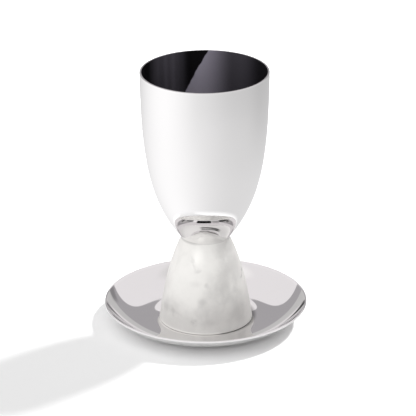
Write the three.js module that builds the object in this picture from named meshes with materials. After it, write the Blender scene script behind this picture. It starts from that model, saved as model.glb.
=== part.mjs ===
// Kiddush cup: a polished steel bowl on a marble foot, standing loose on its own steel saucer.
// Millimetres, +Z up. The origin is under the middle of the saucer, on the surface it stands on.

import * as THREE from 'three';

// Driving dimensions.
const RIM_RADIUS = 37.5;
const BOWL_HEIGHT = 102.5;
const BOWL_WALL = 1.2;
const BOWL_BASE = 2.0;
const RIM_CORNER = 0.2;
const NECK_RADIUS = 14.2;
const FOOT_RADIUS = 27.6;
const FOOT_HEIGHT = 51.9;
const FOOT_BEVEL = 0.2;
const SAUCER_RADIUS = 60;
const SAUCER_HEIGHT = 12.2;
const WELL_RADIUS = 27.8;
const STEP_RADIUS = 33.5;
const STEP_RISE = 1;
const SHEET = 1.2;

// Shape of the bowl's side: how far each end pulls the curve, and which way it leaves the neck.
const RIM_PULL = 59.8;
const RIM_LEAN = 0.3;
const NECK_PULL = 27.3;
const NECK_ANGLE = THREE.MathUtils.degToRad(52.4);

// Shape of the foot's side, in the same terms.
const FOOT_BASE_PULL = 18.8;
const FOOT_BASE_LEAN = 2.7;
const FOOT_TOP_PULL = 17.8;
const FOOT_TOP_ANGLE = THREE.MathUtils.degToRad(64.7);

// Shape of the saucer: the step out of the well, then the side that steepens towards the lip.
const STEP_FOOT_PULL = 0.8;
const STEP_TOP_PULL = 3.6;
const SIDE_PULL = 8;
const SIDE_ANGLE = THREE.MathUtils.degToRad(3);
const LIP_PULL = 13.3;
const LIP_ANGLE = THREE.MathUtils.degToRad(45.7);

// Fineness of the facets.
const TURN_STEPS = 48;
const BOWL_STEPS = 16;
const FOOT_STEPS = 12;
const STEP_STEPS = 5;
const SIDE_STEPS = 10;
const CORNER_STEPS = 2;

const saucerFloorTop = SHEET;
const neckLevel = saucerFloorTop + FOOT_HEIGHT;

// A curve is sampled as pairs of a point and the outward normal of the wall there.
function sampleSide(curve, steps) {
  const samples = [];
  for (let i = 0; i <= steps; i += 1) {
    const tangent = curve.getTangent(i / steps);
    samples.push({ point: curve.getPoint(i / steps), normal: new THREE.Vector2(tangent.y, -tangent.x) });
  }
  return samples;
}

function insetPoint({ point, normal }, depth) {
  return point.clone().addScaledVector(normal, -depth);
}

// The top of a wall, from its outer face to its inner one: a rounded corner, the flat and the other
// corner. Corners of half the wall meet in a half-round lip with no flat.
function roundedLip({ point, normal }, wall, corner) {
  const cornerPoint = (depth, turn) => {
    const centre = point.clone().addScaledVector(normal, -depth);
    return normal.clone().rotateAround(new THREE.Vector2(), turn).multiplyScalar(corner).add(centre);
  };
  const quarter = Math.PI / 2;
  const hasFlat = wall - 2 * corner > 1e-6;
  const points = [];
  for (let i = 1; i <= CORNER_STEPS; i += 1) {
    points.push(cornerPoint(corner, (quarter * i) / CORNER_STEPS));
  }
  for (let i = hasFlat ? 0 : 1; i < CORNER_STEPS; i += 1) {
    points.push(cornerPoint(wall - corner, quarter + (quarter * i) / CORNER_STEPS));
  }
  return points;
}

// Turns a closed half-profile, drawn as (radius, height), about the vertical axis.
function turned(profile) {
  return new THREE.LatheGeometry(profile, TURN_STEPS).rotateX(Math.PI / 2);
}

function thinWalledProfile(side, wall, corner, insideFloor) {
  const inside = side.map((sample) => insetPoint(sample, wall)).filter((point) => point.y > insideFloor);
  const lastInside = inside[0];
  const floorEdge = new THREE.Vector2(lastInside.x - (lastInside.y - insideFloor), insideFloor);
  return [
    new THREE.Vector2(0, side[0].point.y),
    ...side.map((sample) => sample.point),
    ...roundedLip(side[side.length - 1], wall, corner),
    ...inside.reverse(),
    floorEdge,
    new THREE.Vector2(0, insideFloor),
  ];
}

function bowlGeometry() {
  const lipTop = BOWL_HEIGHT - RIM_CORNER;
  const side = new THREE.CubicBezierCurve(
    new THREE.Vector2(NECK_RADIUS, 0),
    new THREE.Vector2(
      NECK_RADIUS + NECK_PULL * Math.cos(NECK_ANGLE),
      NECK_PULL * Math.sin(NECK_ANGLE),
    ),
    new THREE.Vector2(RIM_RADIUS - RIM_LEAN, lipTop - RIM_PULL),
    new THREE.Vector2(RIM_RADIUS, lipTop),
  );
  return turned(thinWalledProfile(sampleSide(side, BOWL_STEPS), BOWL_WALL, RIM_CORNER, BOWL_BASE));
}

function footGeometry() {
  const side = new THREE.CubicBezierCurve(
    new THREE.Vector2(FOOT_RADIUS, FOOT_BEVEL),
    new THREE.Vector2(FOOT_RADIUS - FOOT_BASE_LEAN, FOOT_BASE_PULL),
    new THREE.Vector2(
      NECK_RADIUS + FOOT_TOP_PULL * Math.cos(FOOT_TOP_ANGLE),
      FOOT_HEIGHT - FOOT_TOP_PULL * Math.sin(FOOT_TOP_ANGLE),
    ),
    new THREE.Vector2(NECK_RADIUS, FOOT_HEIGHT),
  );
  return turned([
    new THREE.Vector2(0, 0),
    new THREE.Vector2(FOOT_RADIUS - FOOT_BEVEL, 0),
    ...side.getPoints(FOOT_STEPS),
    new THREE.Vector2(0, FOOT_HEIGHT),
  ]);
}

// The saucer is one pressed sheet: a flat well that takes the foot, a low rounded step and a dished side.
function saucerGeometry() {
  const stepTop = new THREE.Vector2(STEP_RADIUS, STEP_RISE);
  const alongSide = new THREE.Vector2(Math.cos(SIDE_ANGLE), Math.sin(SIDE_ANGLE));
  const alongLip = new THREE.Vector2(Math.cos(LIP_ANGLE), Math.sin(LIP_ANGLE));
  const lipEdge = new THREE.Vector2(
    SAUCER_RADIUS - (SHEET / 2) * (1 - Math.sin(LIP_ANGLE)),
    SAUCER_HEIGHT - (SHEET / 2) * (1 + Math.cos(LIP_ANGLE)),
  );
  const step = new THREE.CubicBezierCurve(
    new THREE.Vector2(WELL_RADIUS, 0),
    new THREE.Vector2(WELL_RADIUS + STEP_FOOT_PULL, 0),
    stepTop.clone().addScaledVector(alongSide, -STEP_TOP_PULL),
    stepTop,
  );
  const side = new THREE.CubicBezierCurve(
    stepTop,
    stepTop.clone().addScaledVector(alongSide, SIDE_PULL),
    lipEdge.clone().addScaledVector(alongLip, -LIP_PULL),
    lipEdge,
  );
  const samples = [...sampleSide(step, STEP_STEPS), ...sampleSide(side, SIDE_STEPS).slice(1)];
  const underside = samples.map((sample) => sample.point);
  const inside = samples.map((sample) => insetPoint(sample, SHEET)).reverse();
  return turned([
    new THREE.Vector2(0, 0),
    ...underside,
    ...roundedLip(samples[samples.length - 1], SHEET, SHEET / 2),
    ...inside,
    new THREE.Vector2(0, SHEET),
  ]);
}

function polishedSteel() {
  return new THREE.MeshStandardMaterial({ color: 0xd9d7d8, roughness: 0.12, metalness: 1 });
}

function marble() {
  return new THREE.MeshStandardMaterial({ color: 0xe6e3df, roughness: 0.45, metalness: 0 });
}

function piece(name, geometry, material, level) {
  const mesh = new THREE.Mesh(geometry, material);
  mesh.name = name;
  mesh.position.z = level;
  return mesh;
}

const kiddushCup = new THREE.Group();
kiddushCup.add(
  piece('saucer', saucerGeometry(), polishedSteel(), 0),
  piece('foot', footGeometry(), marble(), saucerFloorTop),
  piece('bowl', bowlGeometry(), polishedSteel(), neckLevel),
);

export default kiddushCup;
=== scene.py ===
"""Builds a kiddush cup: a polished steel bowl on a marble foot, standing on its steel saucer."""

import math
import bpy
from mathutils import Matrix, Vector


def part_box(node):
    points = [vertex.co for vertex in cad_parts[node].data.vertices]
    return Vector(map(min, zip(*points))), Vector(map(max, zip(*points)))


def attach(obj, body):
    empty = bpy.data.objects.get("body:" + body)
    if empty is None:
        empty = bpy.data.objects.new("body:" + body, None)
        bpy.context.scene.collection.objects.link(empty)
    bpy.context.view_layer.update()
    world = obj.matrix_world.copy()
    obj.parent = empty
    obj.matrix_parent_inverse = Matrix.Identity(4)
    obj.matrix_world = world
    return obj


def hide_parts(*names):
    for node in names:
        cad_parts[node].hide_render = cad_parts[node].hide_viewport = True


bl_info = {
    "name": "Kiddush Cup",
    "version": (1, 0, 0),
    "blender": (4, 5, 0),
    "location": "3D View > Sidebar > Kiddush Cup",
    "description": "A steel and marble kiddush cup with its saucer, and a studio to show it in",
    "category": "Add Mesh",
}

import bmesh
import bpy
from bpy.props import FloatProperty, FloatVectorProperty, IntProperty, PointerProperty
from bpy.types import NodeSocket, Operator, Panel, PropertyGroup
from mathutils import Matrix, Vector
from mathutils.geometry import interpolate_bezier

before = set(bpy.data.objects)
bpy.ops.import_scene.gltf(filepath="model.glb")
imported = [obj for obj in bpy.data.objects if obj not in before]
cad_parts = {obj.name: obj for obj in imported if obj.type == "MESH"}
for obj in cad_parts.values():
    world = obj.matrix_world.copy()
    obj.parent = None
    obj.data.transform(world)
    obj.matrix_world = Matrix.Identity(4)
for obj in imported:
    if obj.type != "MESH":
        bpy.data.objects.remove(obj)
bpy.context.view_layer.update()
SAUCER_LOW, SAUCER_HIGH = (Vector(corner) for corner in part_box("saucer"))
FOOT_LOW, FOOT_HIGH = (Vector(corner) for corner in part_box("foot"))
BOWL_LOW, BOWL_HIGH = (Vector(corner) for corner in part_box("bowl"))
WELL_FLOOR = FOOT_LOW.z


# ---------------------------------------------------------------- sizes and colours


def length(name, description, default):
    return FloatProperty(
        name=name, description=description, default=default, min=0.0, precision=5, unit="LENGTH"
    )


def angle(name, description, degrees):
    return FloatProperty(
        name=name, description=description, default=math.radians(degrees), subtype="ANGLE"
    )


def colour(name, description, default):
    return FloatVectorProperty(
        name=name,
        description=description,
        default=default,
        size=3,
        min=0.0,
        max=1.0,
        subtype="COLOR",
    )


def factor(name, description, default, high=1.0):
    return FloatProperty(
        name=name, description=description, default=default, min=0.0, max=high, precision=3
    )


class CupBowlSizes(PropertyGroup):
    rim_radius: length("Rim radius", "Outside radius at the rim", BOWL_HIGH.x)
    wall: length("Wall", "Thickness of the steel wall", 0.0012)
    base: length("Base", "Thickness of the steel where the bowl sits on the foot", 0.002)
    neck_radius: length("Neck radius", "Radius of the flat base", 0.0142)
    neck_pull: length("Neck pull", "How far the side follows its angle out of the neck", 0.0273)
    neck_angle: angle("Neck angle", "How steeply the side leaves the neck", 52.4)
    rim_pull: length("Rim pull", "How far down from the rim the side stays upright", 0.0598)
    rim_lean: length("Rim lean", "How much the bowl draws in below the rim", 0.0003)
    rim_corner: length("Rim corner", "Radius that eases the two edges of the rim", 0.0002)


class CupFootSizes(PropertyGroup):
    radius: length("Radius", "Radius of the marble at its base", FOOT_HIGH.x)
    bevel: length("Bevel", "Width of the bevel round the base", 0.0002)
    base_pull: length("Base pull", "Height up to which the side stays near upright", 0.0188)
    base_lean: length("Base lean", "How much the side leans in over that height", 0.0027)
    top_pull: length("Top pull", "How far the side follows its angle down from the neck", 0.0178)
    top_angle: angle("Top angle", "How steeply the side meets the neck", 64.7)


class CupSaucerSizes(PropertyGroup):
    radius: length("Radius", "Outside radius at the lip", SAUCER_HIGH.x)
    height: length("Height", "Height of the lip", SAUCER_HIGH.z)
    sheet: length("Sheet", "Thickness of the pressed sheet", 0.0012)
    well_radius: length("Well radius", "Radius of the flat well that takes the foot", 0.0278)
    step_radius: length("Step radius", "Radius at which the step out of the well ends", 0.0335)
    step_rise: length("Step rise", "Height of that step", 0.001)
    step_foot_pull: length("Step foot pull", "How softly the step leaves the well", 0.0008)
    step_top_pull: length("Step top pull", "How softly the step runs out into the side", 0.0036)
    side_pull: length("Side pull", "How far the side stays nearly level", 0.008)
    side_angle: angle("Side angle", "Slope at which the side starts", 3.0)
    lip_pull: length("Lip pull", "How far the side keeps its slope below the lip", 0.0133)
    lip_angle: angle("Lip angle", "Slope at which the side reaches the lip", 45.7)


class CupFinish(PropertyGroup):
    steel: colour("Steel", "Colour of the polished steel", (0.90, 0.893, 0.892))
    steel_gloss: factor("Steel roughness", "Roughness of the clean polished steel", 0.02)
    inside_dark: colour("Inside, dark", "Darkest colour inside the bowl", (0.004, 0.0036, 0.004))
    # The colour of the painted reflection inside the bowl.
    inside_painted_reflection: colour("Inside, slate", "Lightest colour inside the bowl", (0.40, 0.37, 0.45))
    marble: colour("Marble", "Ground colour of the marble", (0.752, 0.74, 0.717))
    # Also the colour of the painted shade on the stone's right side.
    marble_cloud_and_shade: colour("Marble cloud", "Colour of the soft grey clouds", (0.54, 0.528, 0.515))
    marble_blush: colour("Marble blush", "Colour of the warm patches", (0.76, 0.735, 0.715))
    marble_vein: colour("Marble vein", "Colour of the thin veins", (0.36, 0.35, 0.34))
    turn_steps: IntProperty(
        name="Turn steps", description="Facets round each piece", default=256, min=48, max=512
    )


class CupStudio(PropertyGroup):
    sky: factor("Soft light", "Strength of the light from all round", 0.38, 5.0)
    side_light: factor("Side light", "Extra soft light from the front left", 1.6, 5.0)
    key_power: factor("Key power", "Power of the light behind at the right, in watts", 22.0, 100.0)
    key_size: length("Key size", "Width of that light", 0.32)
    floor_key_power: factor(
        "Floor key power", "Power of its twin that lights the floor alone, in watts", 40.0, 200.0
    )
    floor: factor("Floor", "Whiteness of the floor", 0.92)


PROPERTY_GROUPS = {
    "cup_bowl": CupBowlSizes,
    "cup_foot": CupFootSizes,
    "cup_saucer": CupSaucerSizes,
    "cup_finish": CupFinish,
    "cup_studio": CupStudio,
}


# ---------------------------------------------------------------- turned shapes

# Steps along each drawn curve.
BOWL_SIDE_STEPS = 96
FOOT_SIDE_STEPS = 72
WELL_STEP_STEPS = 28
SAUCER_SIDE_STEPS = 72
CORNER_STEPS = 6

# How far along the last step up to a lip the point that holds its shading sits.
HELD_SHARE = 0.94
SHARP_ANGLE = math.radians(35.0)
MERGE_DISTANCE = 1e-6

# Which faces count as the bowl's inside floor.
LEVEL_ENOUGH = 0.9
FLOOR_MARGIN = 0.001


def side_curve(start, start_handle, end_handle, end, steps):
    """Points along a curve in the (radius, height) plane, each with its outward direction."""
    points = interpolate_bezier(start, start_handle, end_handle, end, steps + 1)
    tangents = [after - before for before, after in zip(points, points[1:])]
    directions = [tangents[0], *(a + b for a, b in zip(tangents, tangents[1:])), tangents[-1]]
    return [(point, Vector((d.y, -d.x)).normalized()) for point, d in zip(points, directions)]


def inset(side, depth):
    return [point - normal * depth for point, normal in side]


def held_edge(side):
    """The side with one more point just below its lip, which holds the corner's shading there."""
    (before, _), (edge, normal) = side[-2:]
    return [*side[:-1], (before.lerp(edge, HELD_SHARE), normal), side[-1]]


def rounded_lip(edge, wall, corner):
    """The top of a wall, from its outer face to its inner one, with both corners rounded."""
    point, normal = edge
    quarter = math.pi / 2
    turns = [quarter * i / CORNER_STEPS for i in range(CORNER_STEPS + 1)]
    outer, inner = point - normal * corner, point - normal * (wall - corner)
    return [
        *(outer + Matrix.Rotation(turn, 2) @ normal * corner for turn in turns[1:]),
        *(inner + Matrix.Rotation(quarter + turn, 2) @ normal * corner for turn in turns[:-1]),
    ]


def turned_piece(name, node, profile, turn_steps):
    """Spin a half profile about the upright axis into a closed piece that stands for a CAD node."""
    bm = bmesh.new()
    verts = [bm.verts.new((point.x, 0.0, point.y)) for point in profile]
    edges = [bm.edges.new(pair) for pair in zip(verts, verts[1:])]
    bmesh.ops.spin(
        bm,
        geom=verts + edges,
        cent=(0, 0, 0),
        axis=(0, 0, 1),
        angle=2 * math.pi,
        steps=turn_steps,
        use_merge=True,
    )
    bmesh.ops.remove_doubles(bm, verts=bm.verts[:], dist=MERGE_DISTANCE)
    bmesh.ops.recalc_face_normals(bm, faces=bm.faces[:])
    mesh = bpy.data.meshes.new(name)
    bm.to_mesh(mesh)
    bm.free()
    mesh.shade_smooth()
    mesh.set_sharp_from_angle(angle=SHARP_ANGLE)
    piece = bpy.data.objects.new(name, mesh)
    bpy.context.collection.objects.link(piece)
    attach(piece, "root")
    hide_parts(node)
    return piece


def bowl_profile(sizes):
    foot = Vector((sizes.neck_radius, BOWL_LOW.z))
    lip = Vector((sizes.rim_radius, BOWL_HIGH.z - sizes.rim_corner))
    up_side = Vector((math.cos(sizes.neck_angle), math.sin(sizes.neck_angle)))
    foot_handle = foot + up_side * sizes.neck_pull
    lip_handle = lip + Vector((-sizes.rim_lean, -sizes.rim_pull))
    side = held_edge(side_curve(foot, foot_handle, lip_handle, lip, BOWL_SIDE_STEPS))
    floor = BOWL_LOW.z + sizes.base
    inside = [point for point in inset(side, sizes.wall) if point.y > floor]
    floor_edge = Vector((inside[0].x - (inside[0].y - floor), floor))
    return [
        Vector((0, BOWL_LOW.z)),
        *(point for point, _ in side),
        *rounded_lip(side[-1], sizes.wall, sizes.rim_corner),
        *reversed(inside),
        floor_edge,
        Vector((0, floor)),
    ]


def foot_profile(sizes, neck_radius):
    base = Vector((sizes.radius, FOOT_LOW.z + sizes.bevel))
    top = Vector((neck_radius, FOOT_HIGH.z))
    base_handle = Vector((sizes.radius - sizes.base_lean, FOOT_LOW.z + sizes.base_pull))
    down_side = Vector((math.cos(sizes.top_angle), -math.sin(sizes.top_angle)))
    top_handle = top + down_side * sizes.top_pull
    side = side_curve(base, base_handle, top_handle, top, FOOT_SIDE_STEPS)
    return [
        Vector((0, FOOT_LOW.z)),
        Vector((sizes.radius - sizes.bevel, FOOT_LOW.z)),
        *(point for point, _ in side),
        Vector((0, FOOT_HIGH.z)),
    ]


def saucer_profile(sizes):
    half = sizes.sheet / 2
    step_top = Vector((sizes.step_radius, SAUCER_LOW.z + sizes.step_rise))
    well_edge = Vector((sizes.well_radius, SAUCER_LOW.z))
    along_side = Vector((math.cos(sizes.side_angle), math.sin(sizes.side_angle)))
    along_lip = Vector((math.cos(sizes.lip_angle), math.sin(sizes.lip_angle)))
    lip_edge = Vector((
        sizes.radius - half + half * along_lip.y,
        sizes.height - half - half * along_lip.x,
    ))
    step = side_curve(
        well_edge,
        well_edge + Vector((sizes.step_foot_pull, 0)),
        step_top - along_side * sizes.step_top_pull,
        step_top,
        WELL_STEP_STEPS,
    )
    side = side_curve(
        step_top,
        step_top + along_side * sizes.side_pull,
        lip_edge - along_lip * sizes.lip_pull,
        lip_edge,
        SAUCER_SIDE_STEPS,
    )
    underside = held_edge(step[:-1] + side)
    return [
        Vector((0, SAUCER_LOW.z)),
        *(point for point, _ in underside),
        *rounded_lip(underside[-1], sizes.sheet, half),
        *reversed(inset(underside, sizes.sheet)),
        Vector((0, SAUCER_LOW.z + sizes.sheet)),
    ]


# ---------------------------------------------------------------- node tools


def add(tree, kind, inputs=None, **settings):
    """Add a node, choose its settings, and set each named input or link it to a socket."""
    node = tree.nodes.new(kind)
    for name, value in settings.items():
        setattr(node, name, value)
    for key, value in (inputs or {}).items():
        if isinstance(value, NodeSocket):
            tree.links.new(value, node.inputs[key])
        else:
            node.inputs[key].default_value = value
    return node


def calc(tree, operation, first, second=0.0, third=0.0, clamp=False):
    inputs = {0: first, 1: second, 2: third}
    return add(tree, "ShaderNodeMath", inputs, operation=operation, use_clamp=clamp).outputs[0]


def vector_calc(tree, operation, first, second=(0.0, 0.0, 0.0), output="Vector"):
    inputs = {0: first, 1: second}
    return add(tree, "ShaderNodeVectorMath", inputs, operation=operation).outputs[output]


def vector_length(tree, vector):
    return vector_calc(tree, "LENGTH", vector, output="Value")


def dot(tree, first, second):
    return vector_calc(tree, "DOT_PRODUCT", first, second, output="Value")


def scaled(tree, vector, amount):
    inputs = {0: vector, "Scale": amount}
    return add(tree, "ShaderNodeVectorMath", inputs, operation="SCALE").outputs["Vector"]


def product(tree, first, *others):
    for other in others:
        first = calc(tree, "MULTIPLY", first, other)
    return first


def parts(tree, vector):
    """The X, Y and Z of a vector."""
    return add(tree, "ShaderNodeSeparateXYZ", {0: vector}).outputs


def joined(tree, **values):
    return add(tree, "ShaderNodeCombineXYZ", values).outputs[0]


def ramp(tree, value, low, high, to_low=0.0, to_high=1.0):
    """Ease a value from one range to another, holding it beyond both ends."""
    inputs = {
        "Value": value,
        "From Min": low,
        "From Max": high,
        "To Min": to_low,
        "To Max": to_high,
    }
    node = add(tree, "ShaderNodeMapRange", inputs, interpolation_type="SMOOTHSTEP")
    return node.outputs["Result"]


def blend(tree, amount, first, second):
    """One colour turned into another by a share from 0 to 1."""
    mix = add(tree, "ShaderNodeMix", data_type="RGBA")
    sockets = [socket for socket in mix.inputs if socket.enabled]
    for socket, value in zip(sockets, (amount, first, second)):
        if isinstance(value, NodeSocket):
            tree.links.new(value, socket)
        else:
            socket.default_value = value
    return next(socket for socket in mix.outputs if socket.enabled)


def noise(tree, position, scale, detail=3.0, roughness=0.5, distortion=0.0):
    inputs = {
        "Vector": position,
        "Scale": scale,
        "Detail": detail,
        "Roughness": roughness,
        "Distortion": distortion,
    }
    return add(tree, "ShaderNodeTexNoise", inputs).outputs["Fac"]


def drift(tree, position, scale, detail, amount):
    """A wandering offset, level on average, that bends a pattern."""
    inputs = {"Vector": position, "Scale": scale, "Detail": detail}
    cloud = add(tree, "ShaderNodeTexNoise", inputs).outputs["Color"]
    return scaled(tree, vector_calc(tree, "SUBTRACT", cloud, (0.5, 0.5, 0.5)), amount)


def bumped(tree, height, strength, distance):
    inputs = {"Strength": strength, "Distance": distance, "Height": height}
    return add(tree, "ShaderNodeBump", inputs).outputs[0]


def rgba(values, gain=1.0):
    return (*(channel * gain for channel in values), 1.0)


def object_position(tree):
    return add(tree, "ShaderNodeTexCoord").outputs["Object"]


def new_group(name, inputs, outputs):
    """A shader node group with named sockets; each input is (name, kind, default)."""
    group = bpy.data.node_groups.new(name, "ShaderNodeTree")
    for socket_name, kind, default in inputs:
        socket = group.interface.new_socket(socket_name, in_out="INPUT", socket_type=kind)
        if default is not None:
            socket.default_value = default
    for socket_name, kind in outputs:
        group.interface.new_socket(socket_name, in_out="OUTPUT", socket_type=kind)
    given = group.nodes.new("NodeGroupInput").outputs
    result = group.nodes.new("NodeGroupOutput").inputs
    return group, given, result


def place(tree, group, inputs):
    """Put a group into a tree, set or link its inputs, and hand back its outputs."""
    return add(tree, "ShaderNodeGroup", inputs, node_tree=group).outputs


# ---------------------------------------------------------------- shared effects


def hairline_group():
    """Fine rings left by turning and polishing, with a few broken scratches across them."""
    group, given, result = new_group(
        "Turned hairlines",
        [
            ("Position", "NodeSocketVector", None),
            ("Lines per metre", "NodeSocketFloat", 2200.0),
            ("Scratch scale", "NodeSocketFloat", 260.0),
        ],
        [("Rings", "NodeSocketFloat"), ("Scratches", "NodeSocketFloat")],
    )
    part = parts(group, given["Position"])
    outward = vector_length(group, vector_calc(group, "MULTIPLY", given["Position"], (1, 1, 0)))
    turn = calc(group, "ARCTAN2", part["X"], part["Y"])
    along = joined(
        group,
        X=product(group, outward, given["Lines per metre"]),
        Y=product(group, part["Z"], given["Lines per metre"]),
        Z=product(group, calc(group, "COSINE", turn), 2.5),
    )
    rings = noise(group, along, 1.0, detail=2.0)
    crack = add(group, "ShaderNodeTexVoronoi", {
        "Vector": given["Position"],
        "Scale": given["Scratch scale"],
        "Randomness": 1.0,
    }, feature="DISTANCE_TO_EDGE").outputs["Distance"]
    thin = calc(group, "SUBTRACT", 1.0, ramp(group, crack, 0.0, 0.035))
    broken = ramp(group, noise(group, given["Position"], 70.0, detail=1.0), 0.58, 0.68)
    group.links.new(rings, result["Rings"])
    group.links.new(product(group, thin, broken), result["Scratches"])
    return group


def handling_group():
    """Soft smears and breath marks that dull a polish here and there."""
    group, given, result = new_group(
        "Handling marks",
        [("Position", "NodeSocketVector", None), ("Scale", "NodeSocketFloat", 28.0)],
        [("Smears", "NodeSocketFloat"), ("Mottle", "NodeSocketFloat")],
    )
    stretched = vector_calc(group, "MULTIPLY", given["Position"], (1.0, 1.0, 0.55))
    broad = noise(group, stretched, given["Scale"], detail=4.0, distortion=0.6)
    broad = ramp(group, broad, 0.48, 0.72)
    fine = noise(group, given["Position"], 190.0, detail=3.0)
    group.links.new(product(group, broad, fine), result["Smears"])
    group.links.new(noise(group, given["Position"], 14.0, detail=2.0), result["Mottle"])
    return group


def level_group():
    """A soft, uneven band round the cup at one height, for a worn lip, or for painted light at an
    edge or a joint.
    """
    group, given, result = new_group(
        "Level band",
        [
            ("Position", "NodeSocketVector", None),
            ("Height", "NodeSocketFloat", 0.0),
            ("Width", "NodeSocketFloat", 0.001),
        ],
        [("Mask", "NodeSocketFloat")],
    )
    height = parts(group, given["Position"])["Z"]
    distance = calc(group, "ABSOLUTE", calc(group, "SUBTRACT", height, given["Height"]))
    share = calc(group, "DIVIDE", distance, given["Width"])
    uneven = product(group, noise(group, given["Position"], 120.0, detail=2.0), 0.6)
    outside = ramp(group, calc(group, "ADD", share, uneven), 0.3, 1.3)
    group.links.new(calc(group, "SUBTRACT", 1.0, outside), result["Mask"])
    return group


def stone_mark_group():
    """One ragged cloud in the stone, round a point on its surface."""
    group, given, result = new_group(
        "Stone mark",
        [
            ("Position", "NodeSocketVector", None),
            ("Centre", "NodeSocketVector", (0.0, 0.0, 0.0)),
            ("Reach", "NodeSocketVector", (0.01, 0.01, 0.01)),
            ("Raggedness", "NodeSocketFloat", 1.0),
        ],
        [("Mask", "NodeSocketFloat")],
    )
    from_centre = vector_calc(group, "SUBTRACT", given["Position"], given["Centre"])
    share = vector_length(group, vector_calc(group, "DIVIDE", from_centre, given["Reach"]))
    torn = noise(group, given["Position"], 150.0, detail=4.0, roughness=0.55)
    torn = calc(group, "SUBTRACT", torn, 0.5)
    edge = calc(group, "MULTIPLY_ADD", torn, given["Raggedness"], share)
    group.links.new(ramp(group, edge, 0.0, 1.0, 1.0, 0.0), result["Mask"])
    return group


def stone_vein_group():
    """A thin wandering vein between two points in the stone, fading towards its ends."""
    group, given, result = new_group(
        "Stone vein",
        [
            ("Position", "NodeSocketVector", None),
            ("Start", "NodeSocketVector", (0.0, 0.0, 0.0)),
            ("End", "NodeSocketVector", (0.0, 0.0, 0.01)),
            ("Width", "NodeSocketFloat", 0.0006),
            ("Wander", "NodeSocketFloat", 0.008),
        ],
        [("Mask", "NodeSocketFloat")],
    )
    wander = drift(group, given["Position"], 150.0, 3.0, given["Wander"])
    moved = vector_calc(group, "ADD", given["Position"], wander)
    run = vector_calc(group, "SUBTRACT", given["End"], given["Start"])
    reach = vector_calc(group, "SUBTRACT", moved, given["Start"])
    share = calc(group, "DIVIDE", dot(group, reach, run), dot(group, run, run), clamp=True)
    gap = vector_length(group, vector_calc(group, "SUBTRACT", reach, scaled(group, run, share)))
    outside = ramp(group, calc(group, "DIVIDE", gap, given["Width"]), 0.2, 1.0)
    core = calc(group, "SUBTRACT", 1.0, outside)
    middle = product(group, share, calc(group, "SUBTRACT", 1.0, share), 4.0)
    fade = ramp(group, middle, 0.0, 0.5)
    patchy = ramp(group, noise(group, moved, 320.0, detail=2.0), 0.38, 0.62, 0.25, 1.0)
    group.links.new(product(group, core, fade, patchy), result["Mask"])
    return group


GROUP_MAKERS = {
    "Turned hairlines": hairline_group,
    "Handling marks": handling_group,
    "Level band": level_group,
    "Stone mark": stone_mark_group,
    "Stone vein": stone_vein_group,
}


def shared(name):
    """One of the shared effects, built the first time it is asked for."""
    return bpy.data.node_groups.get(name) or GROUP_MAKERS[name]()


def new_material(name):
    """A material emptied of everything but its output, and the node tree to fill."""
    material = bpy.data.materials.new(name)
    material.use_nodes = True
    material.node_tree.nodes.clear()
    return material, material.node_tree


def finish_material(tree, inputs):
    """Close a material with one Principled shader."""
    shader = add(tree, "ShaderNodeBsdfPrincipled", inputs)
    add(tree, "ShaderNodeOutputMaterial", {"Surface": shader.outputs[0]})


# ---------------------------------------------------------------- finishes

LIP_WEAR_WIDTH = 0.0009
# Width of the painted shade on the steel at the bowl's joint with the marble.
JOINT_SHADE_WIDTH = 0.0007
# How far the painted shade beside the foot reaches out from it.
FOOT_SHADE_WIDTH = 0.0034

# The painted reflection inside the bowl, a paler sweep: the turn from the back at which its edge
# leaves the rim, and how far the edge turns for each metre down the wall.
SWEEP_START = math.radians(3.3)
SWEEP_PITCH = math.radians(20.7) / 0.024

# Soft marks in the marble, and painted shade on its right side: where, how far they reach in metres
# and how strongly they show. A place is a height in millimetres, a turn from the front in degrees
# and a radius in millimetres.
STONE_CLOUDS_AND_SHADE = (
    ((30.6, 1, 22.2), (0.0022, 0.005, 0.0024), 0.60),
    ((31.0, -14, 22.2), (0.0070, 0.006, 0.0030), 0.28),
    ((20.7, -4, 24.4), (0.0048, 0.006, 0.0044), 0.85),
    ((25.0, 6, 23.4), (0.0090, 0.008, 0.0075), 0.30),
    ((22.0, 14, 24.0), (0.0100, 0.009, 0.0110), 0.38),
    ((33.0, 10, 21.6), (0.0060, 0.008, 0.0090), 0.34),
    ((13.0, -62, 25.8), (0.0062, 0.008, 0.0050), 0.85),
    ((15.0, -3, 25.5), (0.0064, 0.006, 0.0070), 0.34),
    ((16.0, -44, 25.4), (0.0120, 0.012, 0.0080), 0.26),
    ((8.1, 5, 26.6), (0.0070, 0.006, 0.0036), 0.55),
    ((8.0, -22, 26.6), (0.0220, 0.012, 0.0110), 0.38),
    ((8.0, -52, 26.6), (0.0120, 0.014, 0.0120), 0.42),
    ((10.0, 12, 26.2), (0.0160, 0.012, 0.0120), 0.38),
    # These five are painted shade: they darken the stone's right side, up to just under the neck.
    ((13.0, 48, 25.8), (0.0110, 0.012, 0.0170), 0.75),
    ((33.0, 32, 22.0), (0.0095, 0.011, 0.0200), 0.82),
    ((39.0, 56, 19.6), (0.0120, 0.014, 0.0200), 0.66),
    ((50.0, 34, 15.6), (0.0070, 0.009, 0.0110), 0.50),
    ((50.5, 62, 15.0), (0.0100, 0.012, 0.0060), 0.62),
    ((24.0, 150, 23.6), (0.0110, 0.009, 0.0080), 0.60),
    ((38.0, 205, 19.8), (0.0080, 0.008, 0.0120), 0.50),
    ((12.0, 250, 26.0), (0.0090, 0.012, 0.0070), 0.60),
)
# A painted highlight: a paler patch high on the stone, a little left of the front.
PAINTED_HIGHLIGHT_PATCH = ((46.0, -16, 17.4), (0.006, 0.008, 0.0095), 0.8)

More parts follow.
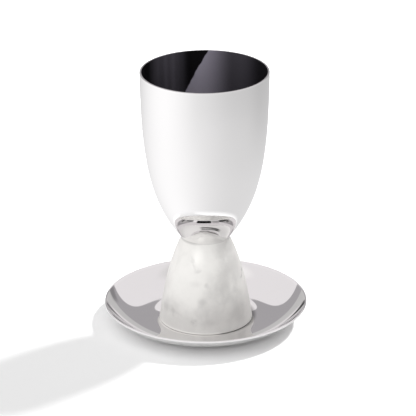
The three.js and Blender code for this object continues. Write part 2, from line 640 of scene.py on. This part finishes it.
# Veins in the marble: from where, to where, how wide in metres and how strongly they show.
STONE_VEINS = (
    ((12.8, -56, 25.8), (8.0, -8, 26.6), 0.0034, 0.36),
    ((46.5, -32, 17.2), (37.0, -12, 20.3), 0.0026, 0.24),
    ((35.2, 84, 21.0), (28.0, 68, 22.8), 0.0016, 0.75),
    ((44.0, 130, 18.0), (10.0, 185, 26.3), 0.0024, 0.34),
    ((30.0, 225, 22.4), (6.0, 280, 26.9), 0.0022, 0.34),
)


def level_band(tree, position, height, width):
    inputs = {"Position": position, "Height": height, "Width": width}
    return place(tree, shared("Level band"), inputs)["Mask"]


def painted_foot_shade(tree, position, radius):
    """Painted shade on the saucer: a dark crescent along the right of the foot, where shade falls.
    """
    part = parts(tree, position)
    level = joined(tree, X=part["X"], Y=part["Y"])
    gap = calc(tree, "SUBTRACT", vector_length(tree, level), radius)
    return product(
        tree,
        ramp(tree, gap, 0.0003, FOOT_SHADE_WIDTH, 1.0, 0.0),
        ramp(tree, gap, -0.001, 0.0),
        ramp(tree, part["Z"], WELL_FLOOR / 2, WELL_FLOOR * 0.9),
        ramp(tree, part["X"], 0.002, 0.013),
    )


def polished_steel(finish, name, lip_height, joint_shade_height=None, foot_shade_radius=None):
    """Mirror-polished steel with faint turning rings, smears, a brighter rubbed lip, and painted
    shade where asked.
    """
    material, tree = new_material(name)
    position = object_position(tree)
    lines = place(tree, shared("Turned hairlines"), {"Position": position})
    marks = place(tree, shared("Handling marks"), {"Position": position})
    lip = level_band(tree, position, lip_height, LIP_WEAR_WIDTH)
    mottle = ramp(tree, marks["Mottle"], 0.3, 0.7)
    tone = blend(tree, mottle, rgba(finish.steel, 0.985), rgba(finish.steel))
    tone = blend(tree, product(tree, marks["Smears"], 0.25), tone, rgba(finish.steel, 0.94))
    tone = blend(tree, product(tree, lip, 0.5), tone, rgba(finish.steel, 1.05))
    if joint_shade_height is not None:
        # Painted shade: a dark line on the steel at its joint with the marble, where shade falls in
        # the gap.
        joint = level_band(tree, position, joint_shade_height, JOINT_SHADE_WIDTH)
        tone = blend(tree, product(tree, joint, 0.35), tone, rgba(finish.steel, 0.55))
    if foot_shade_radius is not None:
        # Painted shade: a dark crescent on the saucer along the right of the foot.
        foot_shade = painted_foot_shade(tree, position, foot_shade_radius)
        tone = blend(tree, product(tree, foot_shade, 0.9), tone, rgba(finish.steel, 0.36))
    rough = calc(tree, "MULTIPLY_ADD", marks["Smears"], 0.05, finish.steel_gloss)
    rough = calc(tree, "MULTIPLY_ADD", lines["Scratches"], 0.10, rough)
    rough = calc(tree, "MULTIPLY_ADD", lip, 0.03, rough)
    relief = calc(tree, "MULTIPLY_ADD", lines["Scratches"], -0.6, lines["Rings"])
    finish_material(tree, {
        "Base Color": tone,
        "Metallic": 1.0,
        "Roughness": rough,
        "Normal": bumped(tree, relief, 0.02, 0.00005),
    })
    return material


def dark_inside(finish):
    """The bowl's inside: dark, with a painted reflection on it, one paler sweep that turns down the
    wall.
    """
    material, tree = new_material("Bowl inside")
    position = object_position(tree)
    part = parts(tree, position)
    turn = calc(tree, "ARCTAN2", part["X"], part["Y"])
    depth = calc(tree, "SUBTRACT", BOWL_HIGH.z, part["Z"])
    wobble = calc(tree, "SUBTRACT", noise(tree, position, 160.0, detail=1.0), 0.5)
    wobble = product(tree, wobble, 0.05)
    sweep = calc(tree, "MULTIPLY_ADD", depth, SWEEP_PITCH, turn)
    sweep = calc(tree, "ADD", calc(tree, "SUBTRACT", sweep, SWEEP_START), wobble)
    marks = place(tree, shared("Handling marks"), {"Position": position, "Scale": 40.0})
    lines = place(tree, shared("Turned hairlines"), {"Position": position})

    # Painted reflection: a pale sweep whose sharp edge turns down the wall.
    painted_light = product(
        tree,
        ramp(tree, sweep, -0.012, 0.012),
        ramp(tree, turn, -0.15, 0.48, 1.0, 0.13),
        ramp(tree, turn, 0.6, 1.1, 1.0, 0.1),
        ramp(tree, depth, 0.036, 0.080, 1.0, 0.12),
    )
    # Painted reflection: faint upright streaks on the left side of the wall.
    band = product(
        tree,
        ramp(tree, turn, -1.15, -0.75),
        ramp(tree, turn, -0.56, -0.24, 1.0, 0.04),
    )
    streaks = noise(tree, joined(tree, X=product(tree, turn, 7.0)), 1.0, detail=1.0)
    streaks = ramp(tree, streaks, 0.3, 0.7, 0.7, 1.0)
    amount = calc(tree, "MAXIMUM", painted_light, product(tree, band, streaks, 0.27))
    mottle = ramp(tree, marks["Mottle"], 0.2, 0.8, 0.92, 1.05)
    off_front = ramp(tree, calc(tree, "ABSOLUTE", turn), 2.0, 2.9, 1.0, 0.0)
    above_bottom = ramp(tree, depth, 0.055, 0.088, 1.0, 0.0)
    amount = product(tree, amount, mottle, off_front, above_bottom)
    finish_material(tree, {
        "Base Color": blend(tree, amount, rgba(finish.inside_dark), rgba(finish.inside_painted_reflection)),
        "Metallic": 0.0,
        "Roughness": calc(tree, "MULTIPLY_ADD", marks["Smears"], 0.1, 0.32),
        "Normal": bumped(tree, lines["Rings"], 0.03, 0.00005),
        "Specular IOR Level": 0.04,
    })
    return material


def on_foot(height, turn, radius):
    """A point on the stone, from a height and a radius in millimetres and a turn in degrees."""
    across = math.radians(turn)
    return Vector((radius * math.sin(across), -radius * math.cos(across), height)) * 0.001


def stone_mark(tree, position, centre, reach):
    inputs = {"Position": position, "Centre": on_foot(*centre), "Reach": reach}
    return place(tree, shared("Stone mark"), inputs)["Mask"]


def stone_vein(tree, position, start, end, width):
    inputs = {"Position": position, "Start": on_foot(*start), "End": on_foot(*end), "Width": width}
    return place(tree, shared("Stone vein"), inputs)["Mask"]


def white_marble(finish):
    """Honed warm white marble with soft grey clouds, a few thin veins, and painted shade and
    highlights.
    """
    material, tree = new_material("White marble")
    position = object_position(tree)
    cloud, vein_tone = rgba(finish.marble_cloud_and_shade), rgba(finish.marble_vein)
    warped = vector_calc(tree, "ADD", position, drift(tree, position, 48.0, 2.0, 0.02))
    smoke = ramp(tree, noise(tree, warped, 46.0, detail=4.0, roughness=0.55), 0.40, 0.72)
    wisps = ramp(tree, noise(tree, warped, 120.0, detail=3.0, roughness=0.6), 0.42, 0.78)
    blush = ramp(tree, noise(tree, position, 38.0, detail=2.0), 0.42, 0.66)
    tone = blend(tree, product(tree, smoke, 0.22), rgba(finish.marble), cloud)
    tone = blend(tree, product(tree, wisps, 0.10), tone, cloud)
    tone = blend(tree, product(tree, blush, 0.25), tone, rgba(finish.marble_blush))
    crease = calc(tree, "SUBTRACT", noise(tree, warped, 36.0, detail=3.0), 0.5)
    crease = ramp(tree, calc(tree, "ABSOLUTE", crease), 0.0, 0.045, 1.0, 0.0)
    tone = blend(tree, product(tree, crease, smoke, 0.12), tone, vein_tone)
    # Clouds, and painted shade on the right side of the stone.
    for centre, reach, strength in STONE_CLOUDS_AND_SHADE:
        mark = stone_mark(tree, position, centre, reach)
        tone = blend(tree, product(tree, mark, strength), tone, cloud)
    # Painted highlight high on the stone.
    centre, reach, strength = PAINTED_HIGHLIGHT_PATCH
    painted_light = stone_mark(tree, position, centre, reach)
    tone = blend(tree, product(tree, painted_light, strength), tone, rgba(finish.marble, 1.16))
    for start, end, width, strength in STONE_VEINS:
        vein = stone_vein(tree, position, start, end, width)
        tone = blend(tree, product(tree, vein, strength), tone, vein_tone)

    across = parts(tree, position)["X"]
    # Painted highlight: a bright line round the base of the stone, faint on the right, for light
    # caught on its bevel.
    edge = level_band(tree, position, FOOT_LOW.z + 0.0004, 0.0011)
    edge = product(tree, edge, ramp(tree, across, 0.006, 0.014, 0.9, 0.1))
    tone = blend(tree, edge, tone, rgba(finish.marble, 1.22))
    # Painted shade: a dark line round the top of the stone under the bowl, on the left only.
    painted_seam_shade = level_band(tree, position, FOOT_HIGH.z - 0.0002, 0.0010)
    painted_seam_shade = product(tree, painted_seam_shade, ramp(tree, across, -0.009, -0.001, 0.45, 0.0))
    tone = blend(tree, painted_seam_shade, tone, vein_tone)
    grain = noise(tree, position, 900.0, detail=3.0)
    finish_material(tree, {
        "Base Color": tone,
        "Roughness": calc(tree, "MULTIPLY_ADD", grain, 0.12, 0.36),
        "Normal": bumped(tree, grain, 0.05, 0.0001),
        "Specular IOR Level": 0.25,
    })
    return material


# ---------------------------------------------------------------- studio

FLOOR_WIDTH = 12.0

# The light and its twin stand in one place and aim at different points.
LIGHT_PLACE = (1.115, 0.94, 1.64)
LIGHT_AIM = (0.0, 0.0, 0.07)
FLOOR_LIGHT_AIM = (0.0, 0.0, 0.0)
SIDE_LIGHT_FROM = Vector((-0.62, -0.55, 0.56))

# The camera's angles are in degrees, and its lens and sensor in millimetres.
CAMERA_PLACE = (0.0016, -1.459, 0.6787)
CAMERA_DOWN = 22.63
CAMERA_ROLL = -0.278
CAMERA_LENS = 233.1
CAMERA_SENSOR = 36.0
CAMERA_CLIP = 0.01

# The glow of the floor in the steel: how far from the cup it begins, and how strong it is on the
# left, on the right near the cup and far off, and what the far front right has on top.
GLOW_BEGINS, GLOW_FULL = 0.060, 0.078
GLOW_LEFT = 1.11
GLOW_NEAR = 0.785
GLOW_FAR = 0.565
GLOW_FAR_RIGHT = 0.08

# The room that the steel mirrors: walls, and a ceiling that darkens towards the right.
WALL_LIGHT = rgba((0.85, 0.8225, 0.836))
WALL_GREY = rgba((0.40, 0.385, 0.3996))
WALL_SWEEP = rgba((0.56, 0.551, 0.55))
WALL_DARK = rgba((0.02, 0.02, 0.02))
CEILING_LIGHT = rgba((0.85, 0.838, 0.828))
CEILING_BEGINS, CEILING_FULL = 0.85, 0.95
CEILING_TILT = -0.44
GREY_SLOPE = math.tan(math.radians(28.1))
SWEEP_SLOPE = 0.29
EDGE_SOFTNESS = 0.006

# The round shade nearly overhead, as it lies on a plan of the ray directions.
SHADE_CENTRE = 0.222
SHADE_RADIUS = 0.272

# The unlit parts of the room: the fewest and most mirrorings that show each one, its turn from the
# front and its half width in degrees, where it starts on the floor, its lowest and highest point in
# the room beyond, as heights of a ray of length 1, and its strength.
NOT_ON_FLOOR = 90.0
NO_LOWEST = -1.0
UNLIT_PATCHES = (
    (3, 9, -9, 47, 0.19, NO_LOWEST, 0.34, 1.0),
    (3, 9, 130, 35, 0.30, NO_LOWEST, 0.06, 0.9),
    (3, 9, 172, 20, 0.34, NO_LOWEST, 0.20, 0.8),
    (3, 9, -115, 30, 0.20, NO_LOWEST, -0.02, 0.75),
    (3, 9, 68, 22, 0.30, NO_LOWEST, 0.35, 0.40),
    (3, 3, -144, 13, NOT_ON_FLOOR, 0.26, 0.46, 0.85),
    (3, 3, 143, 11, NOT_ON_FLOOR, 0.26, 0.45, 0.5),
    (2, 2, 139, 12, NOT_ON_FLOOR, 0.22, 0.33, 0.38),
)
PATCH_SOFTNESS = 0.03
PATCH_SOFT_DEGREES = 5


def light_path(tree, output):
    return add(tree, "ShaderNodeLightPath").outputs[output]


def level_direction(turn):
    """A level direction, turned in degrees from the front towards the right."""
    return (math.sin(math.radians(turn)), -math.cos(math.radians(turn)), 0.0)


def line_mask(tree, towards, slope, height):
    """1 below a straight edge on the far wall, which a ray meets at height = slope x towards."""
    gap = calc(tree, "SUBTRACT", product(tree, towards, slope), height)
    return ramp(tree, gap, -EDGE_SOFTNESS, EDGE_SOFTNESS)


def unlit_room(tree, direction, distance=None, height=None):
    """Where the unlit parts of the room show.

    They show only in light that has been mirrored several times, which no real room does: it keeps
    them under the bowl and at the saucer's ends, and off the bowl's open side. On the floor they go
    by the distance of the point, and in the room beyond by the height of the ray.
    """
    dark = 0.0
    bounces = light_path(tree, "Ray Depth")
    level = vector_calc(tree, "NORMALIZE", vector_calc(tree, "MULTIPLY", direction, (1, 1, 0)))
    for fewest, most, turn, half_width, start, bottom, top, strength in UNLIT_PATCHES:
        towards = dot(tree, level, level_direction(turn))
        outer = math.cos(math.radians(half_width + PATCH_SOFT_DEGREES))
        inner = math.cos(math.radians(half_width - PATCH_SOFT_DEGREES))
        patch = ramp(tree, towards, outer, inner, 0.0, strength)
        if distance is not None:
            past_start = ramp(tree, distance, start - PATCH_SOFTNESS, start + PATCH_SOFTNESS)
            patch = product(tree, patch, past_start)
        if height is not None:
            below = ramp(tree, height, top - PATCH_SOFTNESS, top + PATCH_SOFTNESS, 1.0, 0.0)
            above = ramp(tree, height, bottom - PATCH_SOFTNESS, bottom + PATCH_SOFTNESS)
            patch = product(tree, patch, below, above)
        enough = calc(tree, "GREATER_THAN", bounces, fewest - 0.5)
        not_past = calc(tree, "LESS_THAN", bounces, most + 0.5)
        dark = calc(tree, "MAXIMUM", dark, product(tree, patch, enough, not_past))
    return dark


def shade_edge(tree, part):
    """The dark lower edge of the round shade, which shows only after three or more mirrorings."""
    plan = joined(tree, X=part["X"], Y=calc(tree, "SUBTRACT", part["Y"], SHADE_CENTRE))
    gap = calc(tree, "ABSOLUTE", calc(tree, "SUBTRACT", vector_length(tree, plan), SHADE_RADIUS))
    return product(
        tree,
        ramp(tree, gap, 0.006, 0.030, 0.9, 0.0),
        ramp(tree, part["X"], -0.12, -0.05),
        ramp(tree, part["Y"], 0.04, 0.16, 1.0, 0.0),
        calc(tree, "GREATER_THAN", light_path(tree, "Ray Depth"), 2.5),
    )


def mirrored_floor(tree, position, distance):
    """How brightly the floor shows in the steel, which is most on the left and least far off."""
    across = vector_calc(tree, "NORMALIZE", position)
    leftwards = dot(tree, across, level_direction(-75))
    share = calc(tree, "POWER", calc(tree, "MULTIPLY_ADD", leftwards, 0.5, 0.5), 2.0)
    least = ramp(tree, distance, 0.12, 0.45, GLOW_NEAR, GLOW_FAR)
    glow = calc(tree, "MULTIPLY_ADD", calc(tree, "SUBTRACT", GLOW_LEFT, least), share, least)
    right = dot(tree, across, level_direction(45))
    far_right = product(tree, ramp(tree, right, 0.4, 1.0), ramp(tree, distance, 0.18, 0.35))
    glow = calc(tree, "MULTIPLY_ADD", far_right, GLOW_FAR_RIGHT, glow)
    lit_share = calc(tree, "SUBTRACT", 1.0, unlit_room(tree, across, distance=distance))
    return product(tree, glow, lit_share)


def studio_floor(whiteness):
    """A wide white floor, which away from the cup has a glow of its own for the steel to see."""
    bm = bmesh.new()
    bmesh.ops.create_grid(bm, x_segments=1, y_segments=1, size=FLOOR_WIDTH / 2)
    mesh = bpy.data.meshes.new("Studio floor")
    bm.to_mesh(mesh)
    bm.free()
    floor = bpy.data.objects.new("Studio_floor", mesh)
    bpy.context.collection.objects.link(floor)
    material, tree = new_material("Studio floor")
    position = object_position(tree)
    distance = vector_length(tree, position)
    lit = add(tree, "ShaderNodeBsdfDiffuse", {"Color": rgba((whiteness,) * 3)}).outputs[0]
    mirrored = add(tree, "ShaderNodeEmission", {
        "Color": rgba((1.0, 0.995, 1.0)),
        "Strength": mirrored_floor(tree, position, distance),
    }).outputs[0]
    away = ramp(tree, distance, GLOW_BEGINS, GLOW_FULL)
    away = product(tree, light_path(tree, "Is Glossy Ray"), away)
    both = add(tree, "ShaderNodeMixShader", {0: away, 1: lit, 2: mirrored}).outputs[0]
    add(tree, "ShaderNodeOutputMaterial", {"Surface": both})
    mesh.materials.append(material)
    return floor


def studio_world(studio):
    """Soft light from all round, and the room that the polished steel mirrors."""
    world = bpy.data.worlds.new("Studio")
    bpy.context.scene.world = world
    world.use_nodes = True
    tree = world.node_tree
    tree.nodes.clear()
    direction = add(tree, "ShaderNodeTexCoord").outputs["Generated"]
    part = parts(tree, direction)
    glow = ramp(tree, dot(tree, direction, SIDE_LIGHT_FROM), 0.0, 1.0)
    glow = calc(tree, "ADD", product(tree, glow, studio.side_light), studio.sky)
    soft = add(tree, "ShaderNodeBackground", {"Strength": glow}).outputs[0]

    above = ramp(tree, part["Z"], CEILING_BEGINS, CEILING_FULL)
    tilt = calc(tree, "MULTIPLY_ADD", product(tree, part["X"], above), CEILING_TILT, 1.0)
    ceiling = scaled(tree, blend(tree, above, WALL_LIGHT, CEILING_LIGHT), tilt)
    room = blend(tree, line_mask(tree, part["Y"], GREY_SLOPE, part["Z"]), ceiling, WALL_GREY)
    room = blend(tree, line_mask(tree, part["Y"], SWEEP_SLOPE, part["Z"]), room, WALL_SWEEP)
    room = blend(tree, unlit_room(tree, direction, height=part["Z"]), room, WALL_DARK)
    room = blend(tree, shade_edge(tree, part), room, WALL_DARK)
    mirrored = add(tree, "ShaderNodeBackground", {"Color": room}).outputs[0]

    in_steel = light_path(tree, "Is Glossy Ray")
    both = add(tree, "ShaderNodeMixShader", {0: in_steel, 1: soft, 2: mirrored}).outputs[0]
    add(tree, "ShaderNodeOutputWorld", {"Surface": both})


def studio_light(name, size, power, target):
    """A round soft light aimed at a point, left out of mirror reflections."""
    data = bpy.data.lights.new(name, "AREA")
    data.shape = "DISK"
    data.size = size
    data.energy = power
    light = bpy.data.objects.new(name, data)
    bpy.context.collection.objects.link(light)
    light.location = LIGHT_PLACE
    towards = Vector(target) - Vector(LIGHT_PLACE)
    light.rotation_euler = towards.to_track_quat("-Z", "Y").to_euler()
    light.visible_glossy = False
    return light


def light_only(light, piece):
    """Let a light reach one object and no other."""
    receivers = bpy.data.collections.new(light.name + " on " + piece.name)
    light.light_linking.receiver_collection = receivers
    receivers.objects.link(piece)


def studio_camera():
    data = bpy.data.cameras.new("Camera")
    data.lens = CAMERA_LENS
    data.sensor_width = CAMERA_SENSOR
    data.clip_start = CAMERA_CLIP
    camera = bpy.data.objects.new("Camera", data)
    bpy.context.collection.objects.link(camera)
    tilt = Matrix.Rotation(math.radians(90 - CAMERA_DOWN), 4, "X")
    roll = Matrix.Rotation(math.radians(CAMERA_ROLL), 4, "Z")
    camera.matrix_world = Matrix.Translation(CAMERA_PLACE) @ (tilt @ roll)
    bpy.context.scene.camera = camera


# ---------------------------------------------------------------- operators


class CUP_OT_bowl(Operator):
    """Add the egg-shaped steel bowl, bright outside and dark inside"""

    bl_idname = "cup.add_bowl"
    bl_label = "Bowl"
    bl_options = {"REGISTER", "UNDO"}

    def execute(self, context):
        scene = context.scene
        sizes, finish = scene.cup_bowl, scene.cup_finish
        piece = turned_piece("Bowl_steel", "bowl", bowl_profile(sizes), finish.turn_steps)
        mesh = piece.data
        lip_height = BOWL_HIGH.z - sizes.wall / 2
        steel = polished_steel(finish, "Bowl steel", lip_height, joint_shade_height=BOWL_LOW.z)
        mesh.materials.append(steel)
        mesh.materials.append(dark_inside(finish))
        floor = BOWL_LOW.z + sizes.base
        for face in mesh.polygons:
            outward = face.normal.x * face.center.x + face.normal.y * face.center.y
            on_floor = face.normal.z > LEVEL_ENOUGH and face.center.z < floor + FLOOR_MARGIN
            face.material_index = 1 if outward < 0 or on_floor else 0
        return {"FINISHED"}


class CUP_OT_foot(Operator):
    """Add the bell-shaped marble foot"""

    bl_idname = "cup.add_foot"
    bl_label = "Foot"
    bl_options = {"REGISTER", "UNDO"}

    def execute(self, context):
        scene = context.scene
        finish = scene.cup_finish
        profile = foot_profile(scene.cup_foot, scene.cup_bowl.neck_radius)
        piece = turned_piece("Foot_marble", "foot", profile, finish.turn_steps)
        piece.data.materials.append(white_marble(finish))
        return {"FINISHED"}


class CUP_OT_saucer(Operator):
    """Add the pressed steel saucer with its well for the foot"""

    bl_idname = "cup.add_saucer"
    bl_label = "Saucer"
    bl_options = {"REGISTER", "UNDO"}

    def execute(self, context):
        scene = context.scene
        sizes, finish = scene.cup_saucer, scene.cup_finish
        piece = turned_piece("Saucer_steel", "saucer", saucer_profile(sizes), finish.turn_steps)
        lip_height = sizes.height - sizes.sheet / 2
        steel = polished_steel(finish, "Saucer steel", lip_height, foot_shade_radius=FOOT_HIGH.x)
        piece.data.materials.append(steel)
        return {"FINISHED"}


class CUP_OT_stage(Operator):
    """Add the floor, the lights, the room and the camera"""

    bl_idname = "cup.add_stage"
    bl_label = "Studio"
    bl_options = {"REGISTER", "UNDO"}

    def execute(self, context):
        scene = context.scene
        studio = scene.cup_studio
        scene.view_settings.view_transform = "Standard"
        floor = studio_floor(studio.floor)
        studio_world(studio)
        studio_light("Key", studio.key_size, studio.key_power, LIGHT_AIM)
        twin = studio_light("Floor key", studio.key_size, studio.floor_key_power, FLOOR_LIGHT_AIM)
        light_only(twin, floor)
        studio_camera()
        return {"FINISHED"}


class CUP_PT_panel(Panel):
    """Sizes, colours and buttons for the cup"""

    bl_label = "Kiddush Cup"
    bl_idname = "CUP_PT_panel"
    bl_space_type = "VIEW_3D"
    bl_region_type = "UI"
    bl_category = "Kiddush Cup"

    def draw(self, context):
        for operator, groups in PANEL_ROWS:
            box = self.layout.box()
            for group in groups:
                settings = getattr(context.scene, group)
                for name in settings.__annotations__:
                    box.prop(settings, name)
            box.operator(operator.bl_idname)


OPERATORS = (CUP_OT_bowl, CUP_OT_foot, CUP_OT_saucer, CUP_OT_stage)
PANEL_ROWS = (
    (CUP_OT_bowl, ("cup_bowl", "cup_finish")),
    (CUP_OT_foot, ("cup_foot",)),
    (CUP_OT_saucer, ("cup_saucer",)),
    (CUP_OT_stage, ("cup_studio",)),
)


def register():
    for name, group in PROPERTY_GROUPS.items():
        bpy.utils.register_class(group)
        setattr(bpy.types.Scene, name, PointerProperty(type=group))
    for operator in OPERATORS:
        bpy.utils.register_class(operator)
    bpy.utils.register_class(CUP_PT_panel)


def unregister():
    bpy.utils.unregister_class(CUP_PT_panel)
    for operator in reversed(OPERATORS):
        bpy.utils.unregister_class(operator)
    for name, group in PROPERTY_GROUPS.items():
        delattr(bpy.types.Scene, name)
        bpy.utils.unregister_class(group)


def main():
    register()
    bpy.ops.cup.add_bowl()
    bpy.ops.cup.add_foot()
    bpy.ops.cup.add_saucer()
    bpy.ops.cup.add_stage()


if __name__ == "__main__":
    main()
